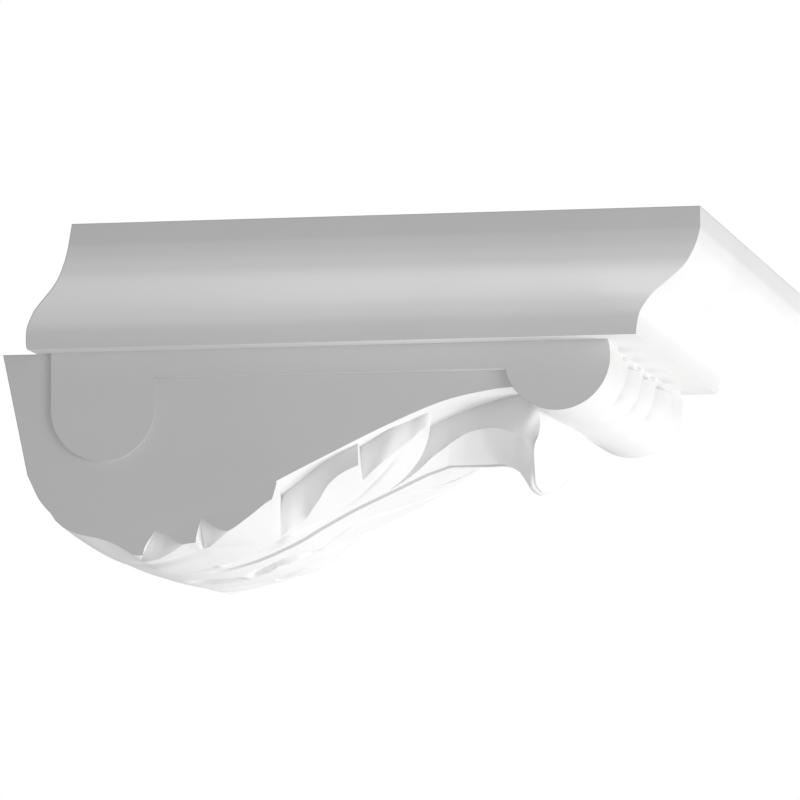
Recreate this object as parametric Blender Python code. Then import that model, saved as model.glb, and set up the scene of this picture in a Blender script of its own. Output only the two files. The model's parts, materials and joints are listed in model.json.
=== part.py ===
"""Modillion: a moulded cornice bracket with a crown, a fluted front roll and an acanthus leaf.

The model is drawn in the plane of the bracket's side. There, s runs forward from the rear foot of
the crown moulding, z runs up from that foot, and x runs across from the middle of the bracket.
place() turns this into the part's own frame: front towards -Y, up +Z, and the origin in the middle
of the flat top, where the bracket is fixed under a cornice.
"""
import bisect
import math

import bmesh
import bpy
from mathutils import Vector

# Driving dimensions, in metres
LENGTH = 0.254                          # foot of the crown moulding, front to back
CROWN_HALF = 0.413 * LENGTH             # half the crown's width, at its foot
CROWN_HEIGHT = 0.185 * LENGTH
CROWN_PROJECTION = 0.125 * LENGTH       # how far the crown's top oversails its foot
CROWN_REAR_CUT = 0.105 * LENGTH         # how far forward the scribed back leans at the top
BODY_HALF = 0.358 * LENGTH              # half the body's width
BODY_REAR = -0.057 * LENGTH             # top of the body's rear face
BODY_FRONT = 0.949 * LENGTH             # front of the roll
ROLL_RADIUS = 0.0867 * LENGTH
ROLL_DROP = 0.0255 * LENGTH             # axis of the roll, below the crown's foot
TOP_CENTRE = 0.615 * LENGTH             # middle of the flat top, along s

# Relief on the sides
BAND_DEPTH = 0.043 * LENGTH             # raised band under the crown
FIELD_DEPTH_REAR = 0.0095 * LENGTH      # the sunk field gets deeper towards the front
FIELD_DEPTH_FRONT = 0.0240 * LENGTH
TONGUE_CENTRE = 0.112 * LENGTH          # raised round-ended tongue at the rear
TONGUE_DROP = 0.092 * LENGTH

# Roll: rims at its ends, four reeds between them
ROLL_RIM = 0.082 * LENGTH
REEDS = 4
REED_GROOVE = 0.0170 * LENGTH
REED_TOP_STEP = 0.0160 * LENGTH         # the reeds stop this far below the crown
REED_TOP_DEPTH = 0.0130 * LENGTH
REED_FADE_START = 30.0                  # degrees below level, where the grooves start to fade
REED_FADE_END = 80.0

# Leaf
LEAF_HALF = 0.354 * LENGTH              # half the leaf's width before the fields trim it
LEAF_ROOT = 0.030 * LENGTH              # how deep the leaf's back lies in the body
MIDRIB_HALF = 0.012 * LENGTH
MIDRIB_DEPTH = 0.013 * LENGTH
MIDRIB_START, MIDRIB_RUN = 0.16, 0.10   # over LENGTH, from the rear
VALLEY_HALF = 0.100 * LENGTH            # broad hollow along the midrib
VALLEY_DEPTH = 0.010 * LENGTH
VALLEY_START, VALLEY_END = 0.06, 0.66   # over LENGTH, from the rear
VALLEY_RUN = 0.08

# Underside of the body from the foot of its rear face to the roll: s and z over LENGTH
UNDERSIDE = [
    (-0.0152, -0.198), (0.008, -0.243), (0.05, -0.279), (0.12, -0.2915), (0.20, -0.2875),
    (0.28, -0.269), (0.34, -0.2455), (0.398, -0.2150), (0.492, -0.1690), (0.580, -0.1275),
    (0.672, -0.0907), (0.747, -0.0745), (0.800, -0.0690),
]
# Crown profile, a cove under an ovolo: height over LENGTH, share of the full projection
CROWN_PROFILE = [
    (0.0, 0.0), (0.016, 0.02), (0.0335, 0.06), (0.0475, 0.15), (0.060, 0.26), (0.0747, 0.47),
    (0.0865, 0.64), (0.0955, 0.745), (0.1046, 0.82), (0.1148, 0.877), (0.1271, 0.935),
    (0.140, 0.975), (0.1526, 1.0), (0.185, 1.0),
]
CROWN_SWELL = 0.0075 * LENGTH           # the scribed back swells a little between foot and top

# Leaf, row by row: each list gives a value over LENGTH against the row's place on the midrib
ROW_SWEEP = [
    (0.0, 0.0), (0.055, 0.33), (0.10, 0.30), (0.2385, 0.08), (0.3385, 0.157), (0.4885, 0.122),
    (0.4985, 0.64), (0.565, 0.40), (0.615, 0.21), (0.66, 0.07),
]
RELIEF_MIDDLE = [
    (0.0, -0.012), (0.03, 0.012), (0.06, 0.024), (0.10, 0.036), (0.15, 0.048), (0.22, 0.054),
    (0.28, 0.054), (0.34, 0.051), (0.40, 0.050), (0.46, 0.0485), (0.52, 0.050), (0.58, 0.051),
    (0.62, 0.050), (0.66, 0.048),
]
RELIEF_EDGE = [
    (0.0, -0.012), (0.03, 0.002), (0.06, 0.007), (0.083, 0.0085), (0.111, 0.0115), (0.14, 0.023),
    (0.166, 0.040), (0.2468, 0.034), (0.266, 0.036), (0.3236, 0.0347), (0.3522, 0.027),
    (0.3873, 0.0195), (0.41, 0.026), (0.445, 0.026), (0.463, 0.0215), (0.5165, 0.0195),
    (0.535, 0.023), (0.551, 0.021), (0.568, 0.0165), (0.585, 0.009), (0.60, 0.003), (0.625, -0.008),
]
# Lobes: first and last row, number of rows, then against the share of the way from the notch behind
# the lobe to its tip: its half-width, and the half-width of its foot on the body. FULL reaches the
# sunk field of the side. Last, how far forward the foot leans at the notch and at the tip.
FULL = 0.36
LOBES = [
    (0.000, 0.067, 7, [(0.0, FULL), (1.0, FULL)], [(0.0, FULL), (1.0, FULL)], 0.0, 0.0),
    (0.069, 0.2365, 12, [(0.0, 0.270), (0.3, 0.300), (0.60, 0.330), (0.76, 0.345), (0.77, FULL),
                         (1.0, FULL)], [(0.0, FULL), (1.0, FULL)], 0.024, 0.0),
    (0.2385, 0.3375, 9, [(0.0, 0.260), (0.20, 0.305), (0.43, 0.343), (0.44, FULL), (1.0, FULL)],
     [(0.0, FULL), (1.0, FULL)], 0.010, 0.007),
    (0.3395, 0.4875, 13, [(0.0, 0.147), (0.12, 0.160), (0.29, 0.164), (0.41, 0.207), (0.50, 0.234),
                          (0.60, 0.270), (0.70, 0.288), (0.80, 0.296), (1.0, 0.297)],
     [(0.0, 0.215), (0.28, 0.252), (0.41, 0.272), (0.55, 0.294), (0.80, 0.304), (1.0, 0.304)], 0.006, 0.0),
    (0.4885, 0.498, 10, [(0.0, 0.212), (0.14, 0.240), (0.24, 0.252), (0.36, 0.256), (0.56, 0.262),
                         (0.80, 0.268), (0.94, 0.205), (1.0, 0.165)],
     [(0.0, 0.268), (0.14, 0.277), (0.33, 0.296), (0.44, 0.294), (0.56, 0.288), (0.80, 0.280),
      (0.94, 0.212), (1.0, 0.170)], 0.0, 0.0),
    (0.500, 0.615, 8, [(0.0, 0.030), (0.14, 0.080), (0.26, 0.110), (0.41, 0.135), (0.75, 0.150),
                       (1.0, 0.161)],
     [(0.0, 0.150), (0.36, 0.159), (0.62, 0.163), (1.0, 0.164)], 0.0, 0.0),
]
POCKET_ROWS = [(0.069, 0.1964), (0.2385, 0.2815)]   # notches whose floor is open to the side
POCKET_REACH = 0.002                    # the floor of a notch meets the side this far inside
COLUMNS = [0.0, 0.012, 0.030, 0.055, 0.085, 0.115, 0.150, 0.185, 0.220, 0.255, 0.285, 0.315, FULL]
FLANK_STEPS = 3

# Curled tip of the leaf: middle (s, z), edge (s, z, half-width), foot or lip (s, z, half-width), and
# the middle of its front face (s, z)
TIP = [
    ((0.6570, -0.1600), (0.6718, -0.1279, 0.172), (0.6681, -0.0919, 0.174), (0.668, -0.060)),
    ((0.6840, -0.1603), (0.6891, -0.1227, 0.180), (0.6861, -0.0866, 0.181), (0.700, -0.055)),
    ((0.7030, -0.1596), (0.7071, -0.1198, 0.187), (0.7057, -0.0821, 0.188), (0.735, -0.050)),
    ((0.7190, -0.1630), (0.7321, -0.1207, 0.205), (0.7420, -0.0725, 0.213), (0.775, -0.050)),
    ((0.7320, -0.1700), (0.7545, -0.1267, 0.210), (0.7819, -0.0680, 0.232), (0.815, -0.055)),
    ((0.7395, -0.1760), (0.7685, -0.1338, 0.205), (0.8037, -0.0889, 0.234), (0.838, -0.075)),
    ((0.7435, -0.1815), (0.7787, -0.1431, 0.198), (0.8082, -0.1080, 0.214), (0.838, -0.095)),
    ((0.7470, -0.1870), (0.7847, -0.1517, 0.186), (0.8053, -0.1279, 0.203), (0.834, -0.112)),
    ((0.7505, -0.1930), (0.7872, -0.1613, 0.168), (0.7978, -0.1464, 0.194), (0.828, -0.130)),
    ((0.7540, -0.1995), (0.7828, -0.1746, 0.140), (0.7857, -0.1757, 0.142), (0.818, -0.150)),
    ((0.7580, -0.2055), (0.7777, -0.1875, 0.108), (0.7806, -0.1886, 0.110), (0.808, -0.170)),
    ((0.7640, -0.2095), (0.7701, -0.1985, 0.058), (0.7730, -0.1996, 0.060), (0.797, -0.188)),
    ((0.7710, -0.2115), (0.7720, -0.2080, 0.015), (0.7750, -0.2085, 0.016), (0.785, -0.206)),
]
TIP_RIB_END = 0.71
FLANK_DRAFT = 0.004 * LENGTH            # a flank runs this far into the body
CUT_SHARE = 0.3                         # the trimmed edge turns this far down towards the back
BACK_COLUMNS = [0.0, 0.045, 0.090, 0.135, 0.180, 0.27, FULL]


def table(rows, at):
    """Value of a table of pairs at a place, on straight lines between its rows."""
    places = [row[0] for row in rows]
    if at <= places[0]:
        return rows[0][1]
    if at >= places[-1]:
        return rows[-1][1]
    i = bisect.bisect_right(places, at)
    (a, va), (b, vb) = rows[i - 1], rows[i]
    return va + (vb - va) * (at - a) / (b - a)


def smooth(rows, at):
    """Value of a table of pairs on a smooth curve through its rows."""
    last = len(rows) - 1
    at = min(max(at, rows[0][0]), rows[-1][0])
    i = min(max(bisect.bisect_right([row[0] for row in rows], at) - 1, 0), last - 1)

    def slope(j):
        lo, hi = rows[max(j - 1, 0)], rows[min(j + 1, last)]
        return (hi[1] - lo[1]) / (hi[0] - lo[0])

    (a, va), (b, vb) = rows[i], rows[i + 1]
    span = b - a
    q = (at - a) / span
    return ((2 * q**3 - 3 * q**2 + 1) * va + (q**3 - 2 * q**2 + q) * span * slope(i)
            + (3 * q**2 - 2 * q**3) * vb + (q**3 - q**2) * span * slope(i + 1))


def place(s, x, z):
    """A point of the drawing in the part's own frame."""
    return Vector((x, TOP_CENTRE - s, z - CROWN_HEIGHT))


def underside(s):
    """Height of the body's underside at s, and the way out of it as (s, z).

    The relief stands square to the underside where it falls, and straight down where it rises.
    """
    at = s / LENGTH
    step = 0.002
    z = smooth(UNDERSIDE, at) * LENGTH
    rise = (smooth(UNDERSIDE, at + step) - smooth(UNDERSIDE, at - step)) / (2 * step)
    size = math.hypot(rise, 1.0)
    return z, (rise / size, -1.0 / size) if rise < 0 else (0.0, -size)


def new_object(name, mesh_data, collection):
    mesh = bpy.data.meshes.new(name)
    bmesh.ops.recalc_face_normals(mesh_data, faces=mesh_data.faces[:])
    mesh_data.to_mesh(mesh)
    mesh_data.free()
    made = bpy.data.objects.new(name, mesh)
    collection.objects.link(made)
    return made


def loft(name, rings, collection):
    """A closed solid through rings of points, with flat ends. Points may fall together in a ring."""
    data = bmesh.new()
    loops = []
    for ring in rings:
        loop = []
        for point in ring:
            spot = place(*point)
            if loop and (loop[-1].co - spot).length < 1e-7:
                loop.append(loop[-1])
            else:
                loop.append(data.verts.new(spot))
        loops.append(loop)

    def face(corners):
        kept = [vert for i, vert in enumerate(corners) if vert is not corners[i - 1]]
        if len(kept) > 2:
            data.faces.new(kept)

    for low, high in zip(loops, loops[1:]):
        for i in range(len(low)):
            face((low[i - 1], low[i], high[i], high[i - 1]))
    face(loops[0])
    face(loops[-1])
    return new_object(name, data, collection)


def slab(name, outline, inner, outer, collection):
    """An outline of (s, z) pushed out from x = inner(s) to x = outer."""
    data = bmesh.new()
    face = data.faces.new([data.verts.new(place(s, inner(s), z)) for s, z in outline])
    moved = bmesh.ops.extrude_face_region(data, geom=[face])["geom"]
    for item in moved:
        if isinstance(item, bmesh.types.BMVert):
            item.co.x = outer
    return new_object(name, data, collection)


def crown(collection):
    """The crown moulding, mitred round the front, and its back scribed to the wall's own moulding."""
    rings = []
    for height, share in CROWN_PROFILE:
        z = height * LENGTH
        out = share * CROWN_PROJECTION
        swell = CROWN_SWELL * math.sqrt(max(math.sin(math.pi * z / CROWN_HEIGHT), 0.0))
        rear = share * CROWN_REAR_CUT - swell
        half = CROWN_HALF + out
        rings.append([(rear, -half, z), (LENGTH + out, -half, z), (LENGTH + out, half, z),
                      (rear, half, z)])
    return loft("crown", rings, collection)


def body(collection):
    """The body between its two sides, without the roll's round front."""
    steps = 44
    first, last = UNDERSIDE[0][0] * LENGTH, UNDERSIDE[-1][0] * LENGTH
    outline = [(BODY_REAR, 0.0)]
    for i in range(steps + 1):
        s = first + (last - first) * (i / steps) ** 1.35
        outline.append((s, underside(s)[0]))
    axis = BODY_FRONT - ROLL_RADIUS
    outline += [(axis, -ROLL_DROP), (axis, 0.0)]
    return slab("body", outline, lambda s: -BODY_HALF, BODY_HALF, collection)


def reed_cut(x):
    """How much of the groove's depth lies at x, from 0 on a reed's crown to 1 in a groove."""
    inner = BODY_HALF - ROLL_RIM
    if abs(x) >= inner:
        return 0.0
    along = (x + inner) / (2 * inner) * REEDS
    off_crown = abs(along - math.floor(along) - 0.5) * 2
    return off_crown ** 2.5


def roll(collection):
    """The front roll: a drum with rims, reeded down its front."""
    inner = BODY_HALF - ROLL_RIM
    cuts = 6
    stations = [-BODY_HALF, -inner - 0.0004]
    for i in range(REEDS * cuts + 1):
        stations.append(-inner + 2 * inner * i / (REEDS * cuts))
    stations += [inner + 0.0004, BODY_HALF]
    axis = BODY_FRONT - ROLL_RADIUS
    sides = 40
    rings = []
    for x in stations:
        groove = reed_cut(x) * REED_GROOVE
        inside = abs(x) <= inner
        ring = []
        for i in range(sides):
            turn = 2 * math.pi * i / sides
            below = math.degrees(-math.asin(math.sin(turn))) if math.cos(turn) > 0 else 90.0
            fade = 1 - min(max((below - REED_FADE_START) / (REED_FADE_END - REED_FADE_START), 0), 1)
            radius = ROLL_RADIUS - groove * fade
            s = axis + radius * math.cos(turn)
            z = -ROLL_DROP + radius * math.sin(turn)
            if inside and z > -REED_TOP_STEP:
                s = min(s, axis + ROLL_RADIUS - REED_TOP_DEPTH)
            ring.append((s, x, z))
        rings.append(ring)
    return loft("roll", rings, collection)


def field_half(s):
    """Half the body's width between the sunk fields, at s."""
    share = (s - BODY_REAR) / (BODY_FRONT - 2 * ROLL_RADIUS - BODY_REAR)
    return BODY_HALF - FIELD_DEPTH_REAR - (FIELD_DEPTH_FRONT - FIELD_DEPTH_REAR) * share


def field(side, collection):
    """The sunk field of one side, as the block that is taken out of the body."""
    arc = 12
    left, right = TONGUE_CENTRE - ROLL_RADIUS, TONGUE_CENTRE + ROLL_RADIUS
    beyond = 0.1 * LENGTH
    outline = [(BODY_REAR - beyond, beyond), (left, beyond)]
    for i in range(arc + 1):
        turn = math.pi * i / arc
        outline.append((TONGUE_CENTRE - ROLL_RADIUS * math.cos(turn),
                        -TONGUE_DROP - ROLL_RADIUS * math.sin(turn)))
    outline.append((right, -BAND_DEPTH))
    axis = BODY_FRONT - ROLL_RADIUS
    start = math.asin((BAND_DEPTH - ROLL_DROP) / ROLL_RADIUS)
    end = math.radians(62)
    for i in range(arc + 1):
        turn = start + (end - start) * i / arc
        outline.append((axis - ROLL_RADIUS * math.cos(turn), -ROLL_DROP - ROLL_RADIUS * math.sin(turn)))
    outline += [(axis - ROLL_RADIUS * math.cos(end), -LENGTH), (BODY_REAR - beyond, -LENGTH)]

    return slab("field", outline, lambda s: side * field_half(s), side * (BODY_HALF + beyond),
                collection)


def leaf_surface(row, x):
    """Height of the leaf's face over the underside, at x on a row."""
    s = row * LENGTH + table(ROW_SWEEP, row) * abs(x)
    at = s / LENGTH
    aside = abs(x) / BODY_HALF
    middle = smooth(RELIEF_MIDDLE, at)
    edge = smooth(RELIEF_EDGE, at)
    height = (middle + (edge - middle) * aside ** 2.2) * LENGTH
    rib = max(0.0, 1 - abs(x) / MIDRIB_HALF)
    height -= MIDRIB_DEPTH * rib * min(max((at - MIDRIB_START) / MIDRIB_RUN, 0), 1)
    off = x / VALLEY_HALF
    along = min(max((at - VALLEY_START) / VALLEY_RUN, 0), max((VALLEY_END - at) / VALLEY_RUN, 0), 1)
    height -= VALLEY_DEPTH * math.exp(-off * off * 2) * along
    return height


def across(columns, half):
    """Places across the leaf, from one edge to the other; those past the edge fall onto it."""
    places = [min(column * LENGTH, half) for column in columns]
    return [-x for x in reversed(places[1:])] + places


def leaf_ring(row, half, foot, lean, pocket):
    """One ring of the leaf where it lies on the underside: its face, then its back in the body."""
    sweep = table(ROW_SWEEP, row)

    def on(x, height, forward=0.0):
        s = row * LENGTH + sweep * abs(x) + forward
        z, out = underside(s)
        return (s + out[0] * height, x, z + out[1] * height)

    half = min(half, LEAF_HALF)
    foot = min(foot, LEAF_HALF)
    height = leaf_surface(row, half)
    foot_height = -FLANK_DRAFT
    if pocket is not None:
        foot_height += (height + FLANK_DRAFT) * pocket
    elif half == LEAF_HALF:
        foot_height = height * (1 - CUT_SHARE) - LEAF_ROOT * CUT_SHARE
    flank = []
    for i in range(1, FLANK_STEPS + 1):
        share = i / FLANK_STEPS
        flank.append((half + (foot - half) * math.sin(math.pi / 2 * share),
                      height + (foot_height - height) * share, lean * share))
    face = [on(x, leaf_surface(row, x)) for x in across(COLUMNS, half)]
    back = [on(x, -LEAF_ROOT, lean * abs(x) / foot) for x in reversed(across(BACK_COLUMNS, foot))]
    return (face + [on(*spot) for spot in flank] + back
            + [on(-x, up, forward) for x, up, forward in reversed(flank)])


def tip_ring(middle, edge, lip, front):
    """One ring of the curled tip: its under face, then the face that looks forward."""
    half = edge[2] * LENGTH

    def between(a, b, share):
        bend = share * share
        return [(a[i] + (b[i] - a[i]) * bend) * LENGTH for i in (0, 1)]

    ribbed = middle[0] < TIP_RIB_END
    face = []
    for x in across(COLUMNS, half):
        s, z = between(middle, edge, x / half)
        rib = max(0.0, 1 - abs(x) / MIDRIB_HALF) if ribbed else 0.0
        face.append((s, x, z + MIDRIB_DEPTH * rib))
    rim = []
    for i in range(1, FLANK_STEPS + 1):
        share = i / FLANK_STEPS
        s, z = (edge[k] + (lip[k] - edge[k]) * share for k in (0, 1))
        x = edge[2] + (lip[2] - edge[2]) * math.sin(math.pi / 2 * share)
        rim.append((s * LENGTH, x * LENGTH, z * LENGTH))
    back = []
    inner = lip[2] * LENGTH * 0.97
    for x in reversed(across(BACK_COLUMNS, inner)):
        s, z = between(front, lip, x / (lip[2] * LENGTH))
        back.append((s, x, z))
    return face + rim + back + [(s, -x, z) for s, x, z in reversed(rim)]


def leaf(collection):
    """The acanthus leaf: lobes swept forward along the underside, and a tip that curls down."""
    rings = []
    for start, end, count, outline, foot, behind, ahead in LOBES:
        for i in range(count):
            share = i / (count - 1)
            row = start + (end - start) * share
            half, foot_half = table(outline, share), table(foot, share)
            pocket = None
            for first, last in POCKET_ROWS:
                if first <= row <= last:
                    pocket = (row - first) / (last - first)
            if pocket is not None:
                lean = behind * (1 - pocket)
                side = field_half((row + table(ROW_SWEEP, row) * FULL) * LENGTH) / LENGTH
                foot_half = max(side, half) + POCKET_REACH
            elif half == FULL:
                lean = ahead if i == count - 1 else 0.0
            else:
                lean = behind + (ahead - behind) * share
            rings.append(leaf_ring(row, half * LENGTH, foot_half * LENGTH, lean * LENGTH, pocket))
    for shape in TIP:
        rings.append(tip_ring(*shape))
    return loft("leaf", rings, collection)


def plaster():
    """White primed finish."""
    material = bpy.data.materials.new("primed_white")
    material.use_nodes = True
    shader = material.node_tree.nodes["Principled BSDF"]
    shader.inputs["Base Color"].default_value = (0.80, 0.80, 0.80, 1.0)
    shader.inputs["Roughness"].default_value = 0.60
    shader.inputs["Metallic"].default_value = 0.0
    return material


def hide_tool(tool):
    tool.hide_render = True
    tool.display_type = "WIRE"


def combine(target, tool, operation):
    step = target.modifiers.new(tool.name, "BOOLEAN")
    step.operation = operation
    step.solver = "EXACT"
    step.object = tool
    hide_tool(tool)


def build():
    for old in list(bpy.data.objects):
        bpy.data.objects.remove(old, do_unlink=True)
    parts = bpy.data.collections.new("modillion")
    tools = bpy.data.collections.new("modillion_tools")
    bpy.context.scene.collection.children.link(parts)
    bpy.context.scene.collection.children.link(tools)

    bracket = body(parts)
    bracket.name = "bracket"
    bracket.data.materials.append(plaster())
    combine(bracket, roll(tools), "UNION")
    combine(bracket, leaf(tools), "UNION")
    for side in (-1, 1):
        combine(bracket, field(side, tools), "DIFFERENCE")
    combine(bracket, crown(tools), "UNION")


build()
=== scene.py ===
"""Modillion: how the bracket looks. A finely drawn skin replaces the plain solid, in the same frame."""
import bisect
import json
import math

import bmesh
import bpy
from mathutils import Matrix, Vector

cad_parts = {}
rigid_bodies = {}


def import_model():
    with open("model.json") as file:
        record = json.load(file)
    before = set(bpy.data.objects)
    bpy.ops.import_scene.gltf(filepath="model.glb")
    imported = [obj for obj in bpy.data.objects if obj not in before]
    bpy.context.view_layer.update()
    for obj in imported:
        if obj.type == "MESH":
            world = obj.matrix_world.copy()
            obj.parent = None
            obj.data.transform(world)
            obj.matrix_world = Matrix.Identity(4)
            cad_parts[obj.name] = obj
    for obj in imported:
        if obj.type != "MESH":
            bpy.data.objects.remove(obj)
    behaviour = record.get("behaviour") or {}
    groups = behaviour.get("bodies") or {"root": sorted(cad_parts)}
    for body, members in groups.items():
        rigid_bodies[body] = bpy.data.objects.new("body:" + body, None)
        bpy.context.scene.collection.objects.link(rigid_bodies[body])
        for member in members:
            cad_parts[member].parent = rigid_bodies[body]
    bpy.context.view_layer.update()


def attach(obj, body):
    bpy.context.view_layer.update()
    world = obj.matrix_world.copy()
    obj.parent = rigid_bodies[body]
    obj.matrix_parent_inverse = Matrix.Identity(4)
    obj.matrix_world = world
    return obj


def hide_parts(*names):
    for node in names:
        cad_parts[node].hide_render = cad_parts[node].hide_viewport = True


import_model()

# Driving dimensions, in metres
LENGTH = 0.254                          # foot of the crown moulding, front to back
CROWN_HALF = 0.413 * LENGTH             # half the crown's width, at its foot
CROWN_HEIGHT = 0.185 * LENGTH
CROWN_PROJECTION = 0.125 * LENGTH       # how far the crown's top oversails its foot
CROWN_REAR_CUT = 0.105 * LENGTH         # how far forward the scribed back leans at the top
BODY_HALF = 0.358 * LENGTH              # half the body's width
BODY_REAR = -0.057 * LENGTH             # top of the body's rear face
BODY_FRONT = 0.949 * LENGTH             # front of the roll
ROLL_RADIUS = 0.0867 * LENGTH
ROLL_DROP = 0.0255 * LENGTH             # axis of the roll, below the crown's foot
TOP_CENTRE = 0.615 * LENGTH             # middle of the flat top, along s

# Relief on the sides
BAND_DEPTH = 0.043 * LENGTH             # raised band under the crown
FIELD_DEPTH_REAR = 0.0095 * LENGTH      # the sunk field gets deeper towards the front
FIELD_DEPTH_FRONT = 0.0240 * LENGTH
TONGUE_CENTRE = 0.112 * LENGTH          # raised round-ended tongue at the rear
TONGUE_DROP = 0.092 * LENGTH

# Roll: rims at its ends, four reeds between them
ROLL_RIM = 0.082 * LENGTH
REEDS = 4
REED_GROOVE = 0.0280 * LENGTH
REED_ROUNDNESS = 2.2                    # the lower, the wider the grooves
RIM_GROOVE = 0.14                       # share of the groove's depth next to a rim
REED_TOP_RUN = 0.035 * LENGTH           # the reeds' top step dies away towards the rims
REED_TOP_STEP = 0.0160 * LENGTH         # the reeds stop this far below the crown
REED_TOP_DEPTH = 0.0130 * LENGTH
REED_FADE_START = 30.0                  # degrees below level, where the grooves start to fade
REED_FADE_END = 66.0

# Leaf
LEAF_HALF = 0.354 * LENGTH              # half the leaf's width before the fields trim it
LEAF_ROOT = 0.030 * LENGTH              # how deep the leaf's back lies in the body
MIDRIB_HALF = 0.014 * LENGTH
MIDRIB_DEPTH = 0.040 * LENGTH
MIDRIB_START, MIDRIB_RUN = 0.21, 0.08   # over LENGTH, from the rear
VALLEY_HALF = 0.100 * LENGTH            # broad hollow along the midrib
VALLEY_DEPTH = 0.010 * LENGTH
VALLEY_START, VALLEY_END = 0.06, 0.66   # over LENGTH, from the rear
VALLEY_RUN = 0.08

# Underside of the body from the foot of its rear face to the roll: s and z over LENGTH
UNDERSIDE = [
    (-0.0152, -0.198), (0.008, -0.243), (0.05, -0.279), (0.12, -0.2915), (0.20, -0.2875),
    (0.28, -0.269), (0.34, -0.2455), (0.398, -0.2150), (0.492, -0.1690), (0.580, -0.1275),
    (0.672, -0.0907), (0.747, -0.0745), (0.800, -0.0690),
]
# Crown profile, a cove under an ovolo: height over LENGTH, share of the full projection
CROWN_PROFILE = [
    (0.0, 0.0), (0.016, 0.02), (0.0335, 0.06), (0.0475, 0.15), (0.060, 0.26), (0.0747, 0.47),
    (0.0865, 0.64), (0.0955, 0.745), (0.1046, 0.82), (0.1148, 0.877), (0.1271, 0.935),
    (0.140, 0.975), (0.1526, 1.0), (0.185, 1.0),
]
CROWN_SWELL = 0.0075 * LENGTH           # the scribed back swells a little between foot and top

# Leaf, row by row: each list gives a value over LENGTH against the row's place on the midrib
ROW_SWEEP = [
    (0.0, 0.0), (0.055, 0.33), (0.10, 0.30), (0.2385, 0.08), (0.3385, 0.157), (0.4885, 0.122),
    (0.4985, 0.64), (0.565, 0.40), (0.615, 0.21), (0.66, 0.07),
]
RELIEF_MIDDLE = [
    (0.0, -0.012), (0.03, 0.012), (0.06, 0.024), (0.10, 0.036), (0.15, 0.048), (0.22, 0.053),
    (0.28, 0.053), (0.34, 0.051), (0.40, 0.050), (0.46, 0.0485), (0.52, 0.050), (0.58, 0.051),
    (0.62, 0.050), (0.66, 0.048),
]
RELIEF_EDGE = [
    (0.0, -0.012), (0.03, 0.002), (0.06, 0.007), (0.083, 0.0085), (0.111, 0.0115), (0.14, 0.023),
    (0.166, 0.040), (0.2468, 0.034), (0.266, 0.036), (0.3236, 0.0347), (0.3522, 0.027),
    (0.3873, 0.0195), (0.41, 0.026), (0.445, 0.026), (0.463, 0.0215), (0.5165, 0.0195),
    (0.535, 0.023), (0.551, 0.021), (0.568, 0.0165), (0.585, 0.009), (0.60, 0.003), (0.625, -0.008),
]
# Lobes: first and last row, number of rows, then against the share of the way from the notch behind
# the lobe to its tip: its half-width, and the half-width of its foot on the body. FULL reaches the
# sunk field of the side. Last, how far forward the foot leans at the notch and at the tip.
FULL = 0.36
LOBES = [
    (0.000, 0.067, 7, [(0.0, FULL), (1.0, FULL)], [(0.0, FULL), (1.0, FULL)], 0.0, 0.0),
    (0.069, 0.2365, 12, [(0.0, 0.270), (0.3, 0.300), (0.60, 0.330), (0.76, 0.345), (0.77, FULL),
                         (1.0, FULL)], [(0.0, FULL), (1.0, FULL)], 0.024, 0.0),
    (0.2385, 0.3375, 9, [(0.0, 0.260), (0.20, 0.305), (0.43, 0.343), (0.44, FULL), (1.0, FULL)],
     [(0.0, FULL), (1.0, FULL)], 0.010, 0.007),
    (0.3395, 0.4875, 13, [(0.0, 0.147), (0.12, 0.160), (0.29, 0.164), (0.41, 0.207), (0.50, 0.234),
                          (0.60, 0.270), (0.70, 0.288), (0.80, 0.296), (1.0, 0.297)],
     [(0.0, 0.215), (0.28, 0.252), (0.41, 0.272), (0.55, 0.294), (0.80, 0.304), (1.0, 0.304)], 0.006, 0.0),
    (0.4885, 0.498, 10, [(0.0, 0.212), (0.14, 0.240), (0.24, 0.252), (0.36, 0.256), (0.56, 0.262),
                         (0.80, 0.268), (0.94, 0.205), (1.0, 0.165)],
     [(0.0, 0.268), (0.14, 0.277), (0.33, 0.296), (0.44, 0.294), (0.56, 0.288), (0.80, 0.280),
      (0.94, 0.212), (1.0, 0.170)], 0.0, 0.0),
    (0.500, 0.615, 8, [(0.0, 0.030), (0.14, 0.080), (0.26, 0.110), (0.41, 0.135), (0.75, 0.150),
                       (1.0, 0.161)],
     [(0.0, 0.150), (0.36, 0.159), (0.62, 0.163), (1.0, 0.164)], 0.0, 0.0),
]
POCKET_ROWS = [(0.069, 0.1964), (0.2385, 0.2815)]   # notches whose floor is open to the side
POCKET_REACH = 0.002                    # the floor of a notch meets the side this far inside
COLUMNS = [0.002 * i for i in range(9)] + [0.018 + 0.004 * i for i in range(86)] + [FULL]
ROW_FINENESS = 3                        # rows of the skin to one of the solid

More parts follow.
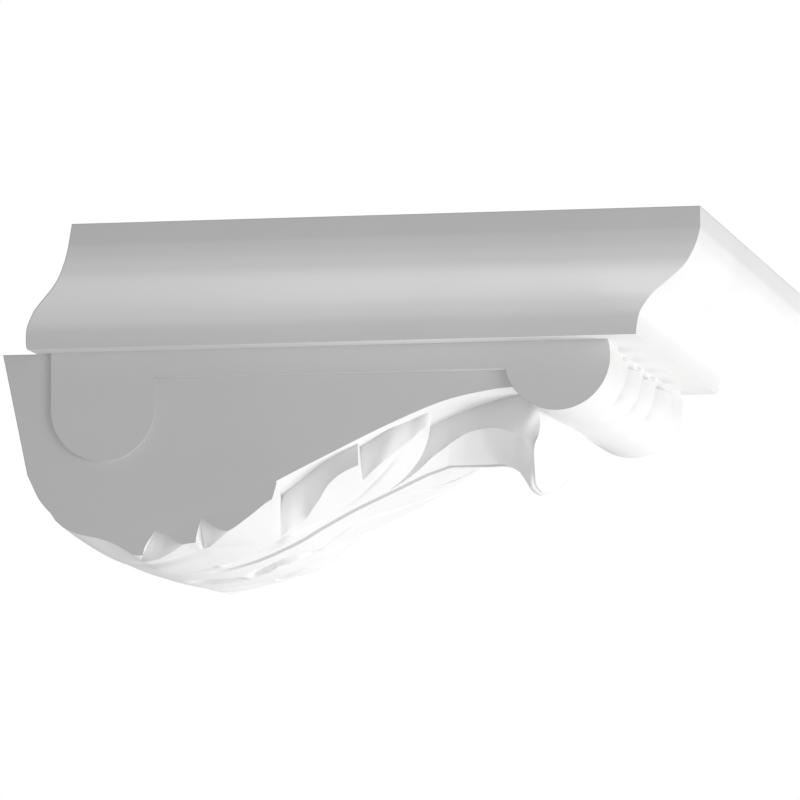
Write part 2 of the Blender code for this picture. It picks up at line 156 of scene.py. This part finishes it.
# Curled tip of the leaf: middle (s, z), edge (s, z, half-width), foot or lip (s, z, half-width), and
# the middle of its front face (s, z)
TIP = [
    ((0.6570, -0.1600), (0.6718, -0.1279, 0.172), (0.6681, -0.0919, 0.174), (0.668, -0.060)),
    ((0.6840, -0.1603), (0.6891, -0.1227, 0.180), (0.6861, -0.0866, 0.181), (0.700, -0.055)),
    ((0.7030, -0.1596), (0.7071, -0.1198, 0.187), (0.7057, -0.0821, 0.188), (0.735, -0.050)),
    ((0.7190, -0.1630), (0.7321, -0.1207, 0.205), (0.7420, -0.0725, 0.213), (0.775, -0.050)),
    ((0.7320, -0.1700), (0.7545, -0.1267, 0.210), (0.7819, -0.0680, 0.232), (0.815, -0.055)),
    ((0.7395, -0.1760), (0.7685, -0.1338, 0.205), (0.8037, -0.0889, 0.234), (0.838, -0.075)),
    ((0.7435, -0.1815), (0.7787, -0.1431, 0.198), (0.8082, -0.1080, 0.214), (0.838, -0.095)),
    ((0.7470, -0.1870), (0.7847, -0.1517, 0.186), (0.8053, -0.1279, 0.203), (0.834, -0.112)),
    ((0.7505, -0.1930), (0.7872, -0.1613, 0.168), (0.7978, -0.1464, 0.194), (0.828, -0.130)),
    ((0.7540, -0.1995), (0.7828, -0.1746, 0.140), (0.7857, -0.1757, 0.142), (0.818, -0.150)),
    ((0.7580, -0.2055), (0.7777, -0.1875, 0.108), (0.7806, -0.1886, 0.110), (0.808, -0.170)),
    ((0.7640, -0.2095), (0.7701, -0.1985, 0.058), (0.7730, -0.1996, 0.060), (0.797, -0.188)),
    ((0.7710, -0.2115), (0.7720, -0.2080, 0.015), (0.7750, -0.2085, 0.016), (0.785, -0.206)),
]
TIP_RIB_END = 0.71
FLANK_DRAFT = 0.004 * LENGTH            # a flank runs this far into the body
CUT_SHARE = 0.3                         # the trimmed edge turns this far down towards the back
BACK_COLUMNS = [0.0, 0.045, 0.090, 0.135, 0.180, 0.225, 0.27, 0.315, FULL]

# A fine vein winds beside the midrib, and a soft streak lies in the belly: place against s
VEIN = [
    (0.27, 0.085), (0.33, 0.120), (0.365, 0.122), (0.40, 0.100), (0.43, 0.082), (0.47, 0.100),
    (0.502, 0.137), (0.552, 0.205), (0.589, 0.255),
]
VEIN_HALF = 0.010 * LENGTH
VEIN_DEPTH = 0.0035 * LENGTH
VEIN_RUN = 0.03
STREAK = [(0.11, 0.16), (0.20, 0.235), (0.27, 0.255), (0.33, 0.200)]
STREAK_HALF = 0.030 * LENGTH
STREAK_DEPTH = 0.006 * LENGTH
STREAK_RUN = 0.05
# Folds: the leaf dips towards a line and steps up outside it. Place and depth against s
FOLDS = [
    ([(0.255, 0.108), (0.285, 0.100), (0.317, 0.095), (0.345, 0.110), (0.372, 0.140)],
     [(0.255, 0.0), (0.262, 0.008), (0.285, 0.011), (0.345, 0.012), (0.372, 0.0)]),
    ([(0.150, 0.090), (0.170, 0.095), (0.210, 0.106), (0.250, 0.122)],
     [(0.150, 0.0), (0.185, 0.012), (0.235, 0.012), (0.250, 0.0)]),
]
FOLD_HALF = 0.045 * LENGTH
FOLD_WALL = 0.009 * LENGTH

# Fineness of the skin
CROWN_STEPS = 60
BODY_STEPS = 140
BODY_CROWDING = 1.35                    # the steps lie closer towards the rear
CUTS_IN_A_REED = 16
ROLL_SIDES = 144
ARC_STEPS = 48
FLANK_STEPS = 9
TIP_FINENESS = 5                        # rings of the skin to one of the tip's list
SLOPE_STEP = 0.002                      # over LENGTH, for the slope of the underside
MERGE_DISTANCE = 1e-7
RIM_EDGE = 0.0004                       # width of the step between a rim and the reeds
FIELD_FRONT_TURN = math.radians(62)     # how far the field follows the roll's disc
FIELD_OVERSIZE = 0.1 * LENGTH           # the cutting block stands this far out of the body
LIP_INSET = 0.97                        # the tip's front face starts this share out to its lip

# Look of the primer
TONE_LOW = (0.775, 0.775, 0.772, 1.0)
TONE_HIGH = (0.815, 0.815, 0.813, 1.0)
TONE_SCALE = 9.0
SHEEN_LOW, SHEEN_HIGH = 0.50, 0.66      # roughness
SPECULAR = 0.28
PEBBLE_SCALE = 900.0
PEBBLE_STRENGTH = 0.10
PEBBLE_HEIGHT = 0.0002
EDGE_SOFTNESS = 0.0007
SHARP_ANGLE = math.radians(28.0)
FLOOR_WHITE = (0.82, 0.82, 0.82, 1.0)
FLOOR_ROUGHNESS = 0.8
PURE_WHITE = (1.0, 1.0, 1.0, 1.0)

# Camera and studio, in metres and watts
CAMERA_LENS = 329.28                    # millimetres, on a sensor of 36
CAMERA_SENSOR = 36.0
CAMERA_REACH = 50.0
CAMERA_PLACE = (-3.0032, TOP_CENTRE - 0.74690, -0.4229)
CAMERA_RIGHT = (0.19956, -0.97989, 0.0)
CAMERA_UP = (-0.115560, -0.023535, 0.993022)
LIGHT_AIM = (0.0, -0.02, -0.07)
LIGHTS = [                              # name, power, size, place
    ("key", 14.2, (1.0, 0.8), (0.60, -1.10, -0.70)),
    ("side", 5.0, (1.0, 0.8), (-1.20, -1.20, -0.25)),
    ("under", 14.0, (2.2, 2.2), (0.1, -0.05, -1.4)),
]
FILL_STRENGTH = 0.38
FLOOR_HEIGHT = -4.5
FLOOR_HALF = 12.0


def table(rows, at):
    """Value of a table of pairs at a place, on straight lines between its rows."""
    places = [row[0] for row in rows]
    if at <= places[0]:
        return rows[0][1]
    if at >= places[-1]:
        return rows[-1][1]
    i = bisect.bisect_right(places, at)
    (a, va), (b, vb) = rows[i - 1], rows[i]
    return va + (vb - va) * (at - a) / (b - a)


def smooth(rows, at):
    """Value of a table of pairs on a smooth curve through its rows."""
    last = len(rows) - 1
    at = min(max(at, rows[0][0]), rows[-1][0])
    i = min(max(bisect.bisect_right([row[0] for row in rows], at) - 1, 0), last - 1)

    def slope(j):
        lo, hi = rows[max(j - 1, 0)], rows[min(j + 1, last)]
        return (hi[1] - lo[1]) / (hi[0] - lo[0])

    (a, va), (b, vb) = rows[i], rows[i + 1]
    span = b - a
    q = (at - a) / span
    return ((2 * q**3 - 3 * q**2 + 1) * va + (q**3 - 2 * q**2 + q) * span * slope(i)
            + (3 * q**2 - 2 * q**3) * vb + (q**3 - q**2) * span * slope(i + 1))


def place(s, x, z):
    """A point of the drawing in the part's own frame."""
    return Vector((x, TOP_CENTRE - s, z - CROWN_HEIGHT))


def underside(s):
    """Height of the body's underside at s, and the way out of it as (s, z).

    The relief stands square to the underside where it falls, and straight down where it rises.
    """
    at = s / LENGTH
    z = smooth(UNDERSIDE, at) * LENGTH
    rise = (smooth(UNDERSIDE, at + SLOPE_STEP) - smooth(UNDERSIDE, at - SLOPE_STEP)) / (2 * SLOPE_STEP)
    size = math.hypot(rise, 1.0)
    return z, (rise / size, -1.0 / size) if rise < 0 else (0.0, -size)


def new_object(name, mesh_data, collection):
    """An object made from a finished bmesh."""
    mesh = bpy.data.meshes.new(name)
    bmesh.ops.recalc_face_normals(mesh_data, faces=mesh_data.faces[:])
    mesh_data.to_mesh(mesh)
    mesh_data.free()
    made = bpy.data.objects.new(name, mesh)
    collection.objects.link(made)
    return made


def loft(name, rings, collection):
    """A closed solid through rings of points, with flat ends. Points may fall together in a ring."""
    data = bmesh.new()
    loops = []
    for ring in rings:
        loop = []
        for point in ring:
            spot = place(*point)
            if loop and (loop[-1].co - spot).length < MERGE_DISTANCE:
                loop.append(loop[-1])
            else:
                loop.append(data.verts.new(spot))
        loops.append(loop)

    def face(corners):
        kept = [vert for i, vert in enumerate(corners) if vert is not corners[i - 1]]
        if len(kept) > 2:
            data.faces.new(kept)

    for low, high in zip(loops, loops[1:]):
        for i in range(len(low)):
            face((low[i - 1], low[i], high[i], high[i - 1]))
    face(loops[0])
    face(loops[-1])
    return new_object(name, data, collection)


def slab(name, outline, inner, outer, collection):
    """An outline of (s, z) pushed out from x = inner(s) to x = outer."""
    data = bmesh.new()
    face = data.faces.new([data.verts.new(place(s, inner(s), z)) for s, z in outline])
    moved = bmesh.ops.extrude_face_region(data, geom=[face])["geom"]
    for item in moved:
        if isinstance(item, bmesh.types.BMVert):
            item.co.x = outer
    return new_object(name, data, collection)


def crown(collection):
    """The crown moulding, mitred round the front, and its back scribed to the wall's own moulding."""
    rings = []
    top = CROWN_PROFILE[-2][0]
    heights = [top * i / CROWN_STEPS for i in range(CROWN_STEPS + 1)] + [CROWN_PROFILE[-1][0]]
    for height in heights:
        share = min(smooth(CROWN_PROFILE, height), 1.0) if height < top else 1.0
        z = height * LENGTH
        out = share * CROWN_PROJECTION
        swell = CROWN_SWELL * math.sqrt(max(math.sin(math.pi * z / CROWN_HEIGHT), 0.0))
        rear = share * CROWN_REAR_CUT - swell
        half = CROWN_HALF + out
        rings.append([(rear, -half, z), (LENGTH + out, -half, z), (LENGTH + out, half, z),
                      (rear, half, z)])
    return loft("crown", rings, collection)


def body(collection):
    """The body between its two sides, without the roll's round front."""
    first, last = UNDERSIDE[0][0] * LENGTH, UNDERSIDE[-1][0] * LENGTH
    outline = [(BODY_REAR, 0.0)]
    for i in range(BODY_STEPS + 1):
        s = first + (last - first) * (i / BODY_STEPS) ** BODY_CROWDING
        outline.append((s, underside(s)[0]))
    axis = BODY_FRONT - ROLL_RADIUS
    outline += [(axis, -ROLL_DROP), (axis, 0.0)]
    return slab("body", outline, lambda s: -BODY_HALF, BODY_HALF, collection)


def reed_cut(x):
    """How much of the groove's depth lies at x, from 0 on a reed's crown to 1 in a groove."""
    inner = BODY_HALF - ROLL_RIM
    if abs(x) >= inner:
        return 0.0
    along = (x + inner) / (2 * inner) * REEDS
    off_crown = abs(along - math.floor(along) - 0.5) * 2
    beside_rim = along < 0.5 or along > REEDS - 0.5
    return off_crown ** REED_ROUNDNESS * (RIM_GROOVE if beside_rim else 1.0)


def roll(collection):
    """The front roll: a drum with rims, reeded down its front."""
    inner = BODY_HALF - ROLL_RIM
    cuts = REEDS * CUTS_IN_A_REED
    stations = [-BODY_HALF, -inner - RIM_EDGE]
    for i in range(cuts + 1):
        stations.append(-inner + 2 * inner * i / cuts)
    stations += [inner + RIM_EDGE, BODY_HALF]
    axis = BODY_FRONT - ROLL_RADIUS
    rings = []
    for x in stations:
        depth = reed_cut(x) * REED_GROOVE
        inside = abs(x) <= inner
        ring = []
        for i in range(ROLL_SIDES):
            turn = 2 * math.pi * i / ROLL_SIDES
            below = math.degrees(-math.asin(math.sin(turn))) if math.cos(turn) > 0 else 90.0
            fade = 1 - min(max((below - REED_FADE_START) / (REED_FADE_END - REED_FADE_START), 0), 1)
            radius = ROLL_RADIUS - depth * fade
            s = axis + radius * math.cos(turn)
            z = -ROLL_DROP + radius * math.sin(turn)
            if inside and z > -REED_TOP_STEP:
                s = min(s, axis + ROLL_RADIUS - REED_TOP_DEPTH * min((inner - abs(x)) / REED_TOP_RUN, 1))
            ring.append((s, x, z))
        rings.append(ring)
    return loft("roll", rings, collection)


def field_half(s):
    """Half the body's width between the sunk fields, at s."""
    share = (s - BODY_REAR) / (BODY_FRONT - 2 * ROLL_RADIUS - BODY_REAR)
    return BODY_HALF - FIELD_DEPTH_REAR - (FIELD_DEPTH_FRONT - FIELD_DEPTH_REAR) * share


def field(side, collection):
    """The sunk field of one side, as the block that is taken out of the body."""
    left, right = TONGUE_CENTRE - ROLL_RADIUS, TONGUE_CENTRE + ROLL_RADIUS
    outline = [(BODY_REAR - FIELD_OVERSIZE, FIELD_OVERSIZE), (left, FIELD_OVERSIZE)]
    for i in range(ARC_STEPS + 1):
        turn = math.pi * i / ARC_STEPS
        outline.append((TONGUE_CENTRE - ROLL_RADIUS * math.cos(turn),
                        -TONGUE_DROP - ROLL_RADIUS * math.sin(turn)))
    outline.append((right, -BAND_DEPTH))
    axis = BODY_FRONT - ROLL_RADIUS
    start = math.asin((BAND_DEPTH - ROLL_DROP) / ROLL_RADIUS)
    for i in range(ARC_STEPS + 1):
        turn = start + (FIELD_FRONT_TURN - start) * i / ARC_STEPS
        outline.append((axis - ROLL_RADIUS * math.cos(turn), -ROLL_DROP - ROLL_RADIUS * math.sin(turn)))
    front = axis - ROLL_RADIUS * math.cos(FIELD_FRONT_TURN)
    outline += [(front, -LENGTH), (BODY_REAR - FIELD_OVERSIZE, -LENGTH)]
    return slab("field", outline, lambda s: side * field_half(s), side * (BODY_HALF + FIELD_OVERSIZE),
                collection)


def groove(x, at, line, half, depth, run):
    """Depth at x of a groove that follows a line on each side of the leaf and fades at its ends."""
    ends = min(at - line[0][0], line[-1][0] - at) / run
    if ends <= 0:
        return 0.0
    off = (abs(x) - smooth(line, at) * LENGTH) / half
    return depth * math.exp(-off * off * 2) * min(ends, 1.0)


def fold(x, at, line, depths):
    """Depth at x of a fold on each side of the leaf: a slope down to its line, then a steep wall up."""
    if not line[0][0] < at < line[-1][0]:
        return 0.0
    off = abs(x) - smooth(line, at) * LENGTH
    reach = FOLD_WALL if off > 0 else FOLD_HALF
    return table(depths, at) * LENGTH * max(0.0, 1 - abs(off) / reach)


def leaf_surface(row, x):
    """Height of the leaf's face over the underside, at x on a row."""
    s = row * LENGTH + table(ROW_SWEEP, row) * abs(x)
    at = s / LENGTH
    aside = abs(x) / BODY_HALF
    middle = smooth(RELIEF_MIDDLE, at)
    edge = smooth(RELIEF_EDGE, at)
    height = (middle + (edge - middle) * aside ** 2.2) * LENGTH
    rib = max(0.0, 1 - abs(x) / MIDRIB_HALF)
    height -= MIDRIB_DEPTH * rib * min(max((at - MIDRIB_START) / MIDRIB_RUN, 0), 1)
    off = x / VALLEY_HALF
    along = min(max((at - VALLEY_START) / VALLEY_RUN, 0), max((VALLEY_END - at) / VALLEY_RUN, 0), 1)
    height -= VALLEY_DEPTH * math.exp(-off * off * 2) * along
    height -= groove(x, at, VEIN, VEIN_HALF, VEIN_DEPTH, VEIN_RUN)
    height -= groove(x, at, STREAK, STREAK_HALF, STREAK_DEPTH, STREAK_RUN)
    for line, depths in FOLDS:
        height -= fold(x, at, line, depths)
    return height


def across(columns, half):
    """Places across the leaf, from one edge to the other; those past the edge fall onto it."""
    places = [min(column * LENGTH, half) for column in columns]
    return [-x for x in reversed(places[1:])] + places


def leaf_ring(row, half, foot, lean, pocket):
    """One ring of the leaf where it lies on the underside: its face, then its back in the body."""
    sweep = table(ROW_SWEEP, row)

    def on(x, height, forward=0.0):
        s = row * LENGTH + sweep * abs(x) + forward
        z, out = underside(s)
        return (s + out[0] * height, x, z + out[1] * height)

    half = min(half, LEAF_HALF)
    foot = min(foot, LEAF_HALF)
    height = leaf_surface(row, half)
    foot_height = -FLANK_DRAFT
    if pocket is not None:
        foot_height += (height + FLANK_DRAFT) * pocket
    elif half == LEAF_HALF:
        foot_height = height * (1 - CUT_SHARE) - LEAF_ROOT * CUT_SHARE
    flank = []
    for i in range(1, FLANK_STEPS + 1):
        share = i / FLANK_STEPS
        flank.append((half + (foot - half) * math.sin(math.pi / 2 * share),
                      height + (foot_height - height) * share, lean * share))
    face = [on(x, leaf_surface(row, x)) for x in across(COLUMNS, half)]
    back = [on(x, -LEAF_ROOT, lean * abs(x) / foot) for x in reversed(across(BACK_COLUMNS, foot))]
    return (face + [on(*spot) for spot in flank] + back
            + [on(-x, up, forward) for x, up, forward in reversed(flank)])


def tip_ring(middle, edge, lip, front):
    """One ring of the curled tip: its under face, then the face that looks forward."""
    half = edge[2] * LENGTH

    def between(a, b, share):
        bend = share * share
        return [(a[i] + (b[i] - a[i]) * bend) * LENGTH for i in (0, 1)]

    ribbed = middle[0] < TIP_RIB_END
    face = []
    for x in across(COLUMNS, half):
        s, z = between(middle, edge, x / half)
        rib = max(0.0, 1 - abs(x) / MIDRIB_HALF) if ribbed else 0.0
        face.append((s, x, z + MIDRIB_DEPTH * rib))
    rim = []
    for i in range(1, FLANK_STEPS + 1):
        share = i / FLANK_STEPS
        s, z = (edge[k] + (lip[k] - edge[k]) * share for k in (0, 1))
        x = edge[2] + (lip[2] - edge[2]) * math.sin(math.pi / 2 * share)
        rim.append((s * LENGTH, x * LENGTH, z * LENGTH))
    back = []
    inner = lip[2] * LENGTH * LIP_INSET
    for x in reversed(across(BACK_COLUMNS, inner)):
        s, z = between(front, lip, x / (lip[2] * LENGTH))
        back.append((s, x, z))
    return face + rim + back + [(s, -x, z) for s, x, z in reversed(rim)]


def leaf(collection):
    """The acanthus leaf: lobes swept forward along the underside, and a tip that curls down."""
    rings = []
    for start, end, count, outline, foot, behind, ahead in LOBES:
        last_row = (count - 1) * ROW_FINENESS
        for i in range(last_row + 1):
            share = i / last_row
            row = start + (end - start) * share
            curve = table if outline[-1][1] == FULL else smooth
            half, foot_half = curve(outline, share), curve(foot, share)
            pocket = None
            for first, last in POCKET_ROWS:
                if first <= row <= last:
                    pocket = (row - first) / (last - first)
            if pocket is not None:
                lean = behind * (1 - pocket)
                side = field_half((row + table(ROW_SWEEP, row) * FULL) * LENGTH) / LENGTH
                foot_half = max(side, half) + POCKET_REACH
            elif half == FULL:
                lean = ahead if i == last_row else 0.0
            else:
                lean = behind + (ahead - behind) * share
            rings.append(leaf_ring(row, half * LENGTH, foot_half * LENGTH, lean * LENGTH, pocket))
    numbers = [[value for point in shape for value in point] for shape in TIP]
    for i in range((len(TIP) - 1) * TIP_FINENESS + 1):
        at = i / TIP_FINENESS
        values = [smooth(list(enumerate(column)), at) for column in zip(*numbers)]
        rings.append(tip_ring(values[0:2], values[2:5], values[5:8], values[8:10]))
    return loft("leaf", rings, collection)


def node(tree, kind, **values):
    """A new shader node with its sockets, or else its settings, at the given values."""
    made = tree.nodes.new(kind)
    for name, value in values.items():
        if name in made.inputs:
            made.inputs[name].default_value = value
        else:
            setattr(made, name, value)
    return made


def primer():
    """White factory primer on moulded foam: matte, faintly uneven in tone, with a fine pebbled skin."""
    material = bpy.data.materials.new("primed_white")
    material.use_nodes = True
    tree = material.node_tree
    shader = tree.nodes["Principled BSDF"]
    shader.inputs["Metallic"].default_value = 0.0
    shader.inputs["Specular IOR Level"].default_value = SPECULAR
    where = node(tree, "ShaderNodeTexCoord")
    link = tree.links.new

    cloud = node(tree, "ShaderNodeTexNoise", Scale=TONE_SCALE, Detail=4.0, Roughness=0.55)
    link(where.outputs["Object"], cloud.inputs["Vector"])
    tone = tree.nodes.new("ShaderNodeValToRGB")
    tone.color_ramp.elements[0].position = 0.30
    tone.color_ramp.elements[0].color = TONE_LOW
    tone.color_ramp.elements[1].position = 0.70
    tone.color_ramp.elements[1].color = TONE_HIGH
    link(cloud.outputs["Fac"], tone.inputs["Fac"])
    link(tone.outputs["Color"], shader.inputs["Base Color"])

    grain = node(tree, "ShaderNodeTexNoise", Scale=PEBBLE_SCALE, Detail=3.0, Roughness=0.5)
    link(where.outputs["Object"], grain.inputs["Vector"])
    sheen = node(tree, "ShaderNodeMapRange")
    sheen.inputs["To Min"].default_value = SHEEN_LOW
    sheen.inputs["To Max"].default_value = SHEEN_HIGH
    link(cloud.outputs["Fac"], sheen.inputs["Value"])
    link(sheen.outputs["Result"], shader.inputs["Roughness"])

    soft = node(tree, "ShaderNodeBevel", Radius=EDGE_SOFTNESS)
    soft.samples = 6
    pebbles = node(tree, "ShaderNodeBump", Strength=PEBBLE_STRENGTH, Distance=PEBBLE_HEIGHT)
    link(grain.outputs["Fac"], pebbles.inputs["Height"])
    link(soft.outputs["Normal"], pebbles.inputs["Normal"])
    link(pebbles.outputs["Normal"], shader.inputs["Normal"])
    return material


def skin():
    """The whole bracket as one mesh: the pieces are joined and the fields taken out."""
    tools = bpy.data.collections.new("modillion_tools")
    bpy.context.scene.collection.children.link(tools)
    base = body(tools)
    order = [(roll(tools), "UNION"), (leaf(tools), "UNION"), (field(-1, tools), "DIFFERENCE"),
             (field(1, tools), "DIFFERENCE"), (crown(tools), "UNION")]
    for tool, operation in order:
        step = base.modifiers.new(tool.name, "BOOLEAN")
        step.operation = operation
        step.solver = "EXACT"
        step.object = tool
    graph = bpy.context.evaluated_depsgraph_get()
    mesh = bpy.data.meshes.new_from_object(base.evaluated_get(graph), depsgraph=graph)
    for item in list(tools.objects):
        bpy.data.objects.remove(item, do_unlink=True)
    bpy.data.collections.remove(tools)
    mesh.name = "bracket_skin"
    mesh.materials.clear()
    made = bpy.data.objects.new("bracket_skin", mesh)
    bpy.context.scene.collection.objects.link(made)
    mesh.shade_smooth()
    mesh.set_sharp_from_angle(angle=SHARP_ANGLE)
    return made


def camera():
    """The photograph's view: from the left, a little from the front and from below, with a long lens."""
    data = bpy.data.cameras.new("camera")
    data.lens = CAMERA_LENS
    data.sensor_width = CAMERA_SENSOR
    data.clip_end = CAMERA_REACH
    made = bpy.data.objects.new("camera", data)
    bpy.context.scene.collection.objects.link(made)
    right, up = Vector(CAMERA_RIGHT), Vector(CAMERA_UP)
    back = right.cross(up)
    turn = Matrix((right, up, back)).transposed().to_4x4()
    turn.translation = Vector(CAMERA_PLACE)
    made.matrix_world = turn
    bpy.context.scene.camera = made


def lights():
    """Plain studio light: softboxes in front and at the side, a wide panel below, and an even fill."""
    for name, power, size, spot in LIGHTS:
        data = bpy.data.lights.new(name, "AREA")
        data.energy = power
        data.shape = "RECTANGLE"
        data.size, data.size_y = size
        made = bpy.data.objects.new(name, data)
        bpy.context.scene.collection.objects.link(made)
        made.location = spot
        aim = Vector(LIGHT_AIM) - made.location
        made.rotation_euler = aim.to_track_quat("-Z", "Y").to_euler()
        made.visible_camera = False

    world = bpy.data.worlds.new("studio")
    bpy.context.scene.world = world
    world.use_nodes = True
    tree = world.node_tree
    tree.nodes.clear()
    out = tree.nodes.new("ShaderNodeOutputWorld")
    seen = node(tree, "ShaderNodeBackground", Strength=1.0)
    fill = node(tree, "ShaderNodeBackground", Strength=FILL_STRENGTH)
    seen.inputs["Color"].default_value = PURE_WHITE
    fill.inputs["Color"].default_value = PURE_WHITE
    mix = tree.nodes.new("ShaderNodeMixShader")
    path = tree.nodes.new("ShaderNodeLightPath")
    link = tree.links.new
    link(path.outputs["Is Camera Ray"], mix.inputs["Fac"])
    link(fill.outputs["Background"], mix.inputs[1])
    link(seen.outputs["Background"], mix.inputs[2])
    link(mix.outputs["Shader"], out.inputs["Surface"])


def floor():
    """A plain pale floor, well below the bracket."""
    data = bmesh.new()
    bmesh.ops.create_grid(data, x_segments=1, y_segments=1, size=FLOOR_HALF)
    mesh = bpy.data.meshes.new("floor")
    data.to_mesh(mesh)
    data.free()
    made = bpy.data.objects.new("floor", mesh)
    made.location.z = FLOOR_HEIGHT
    bpy.context.scene.collection.objects.link(made)
    material = bpy.data.materials.new("floor")
    material.use_nodes = True
    tree = material.node_tree
    shader = tree.nodes["Principled BSDF"]
    shader.inputs["Roughness"].default_value = FLOOR_ROUGHNESS
    shader.inputs["Base Color"].default_value = FLOOR_WHITE
    mesh.materials.append(material)


bpy.context.scene.view_settings.view_transform = "Standard"
bracket = skin()
bracket.data.materials.append(primer())
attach(bracket, "root")
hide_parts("bracket")
floor()
lights()
camera()
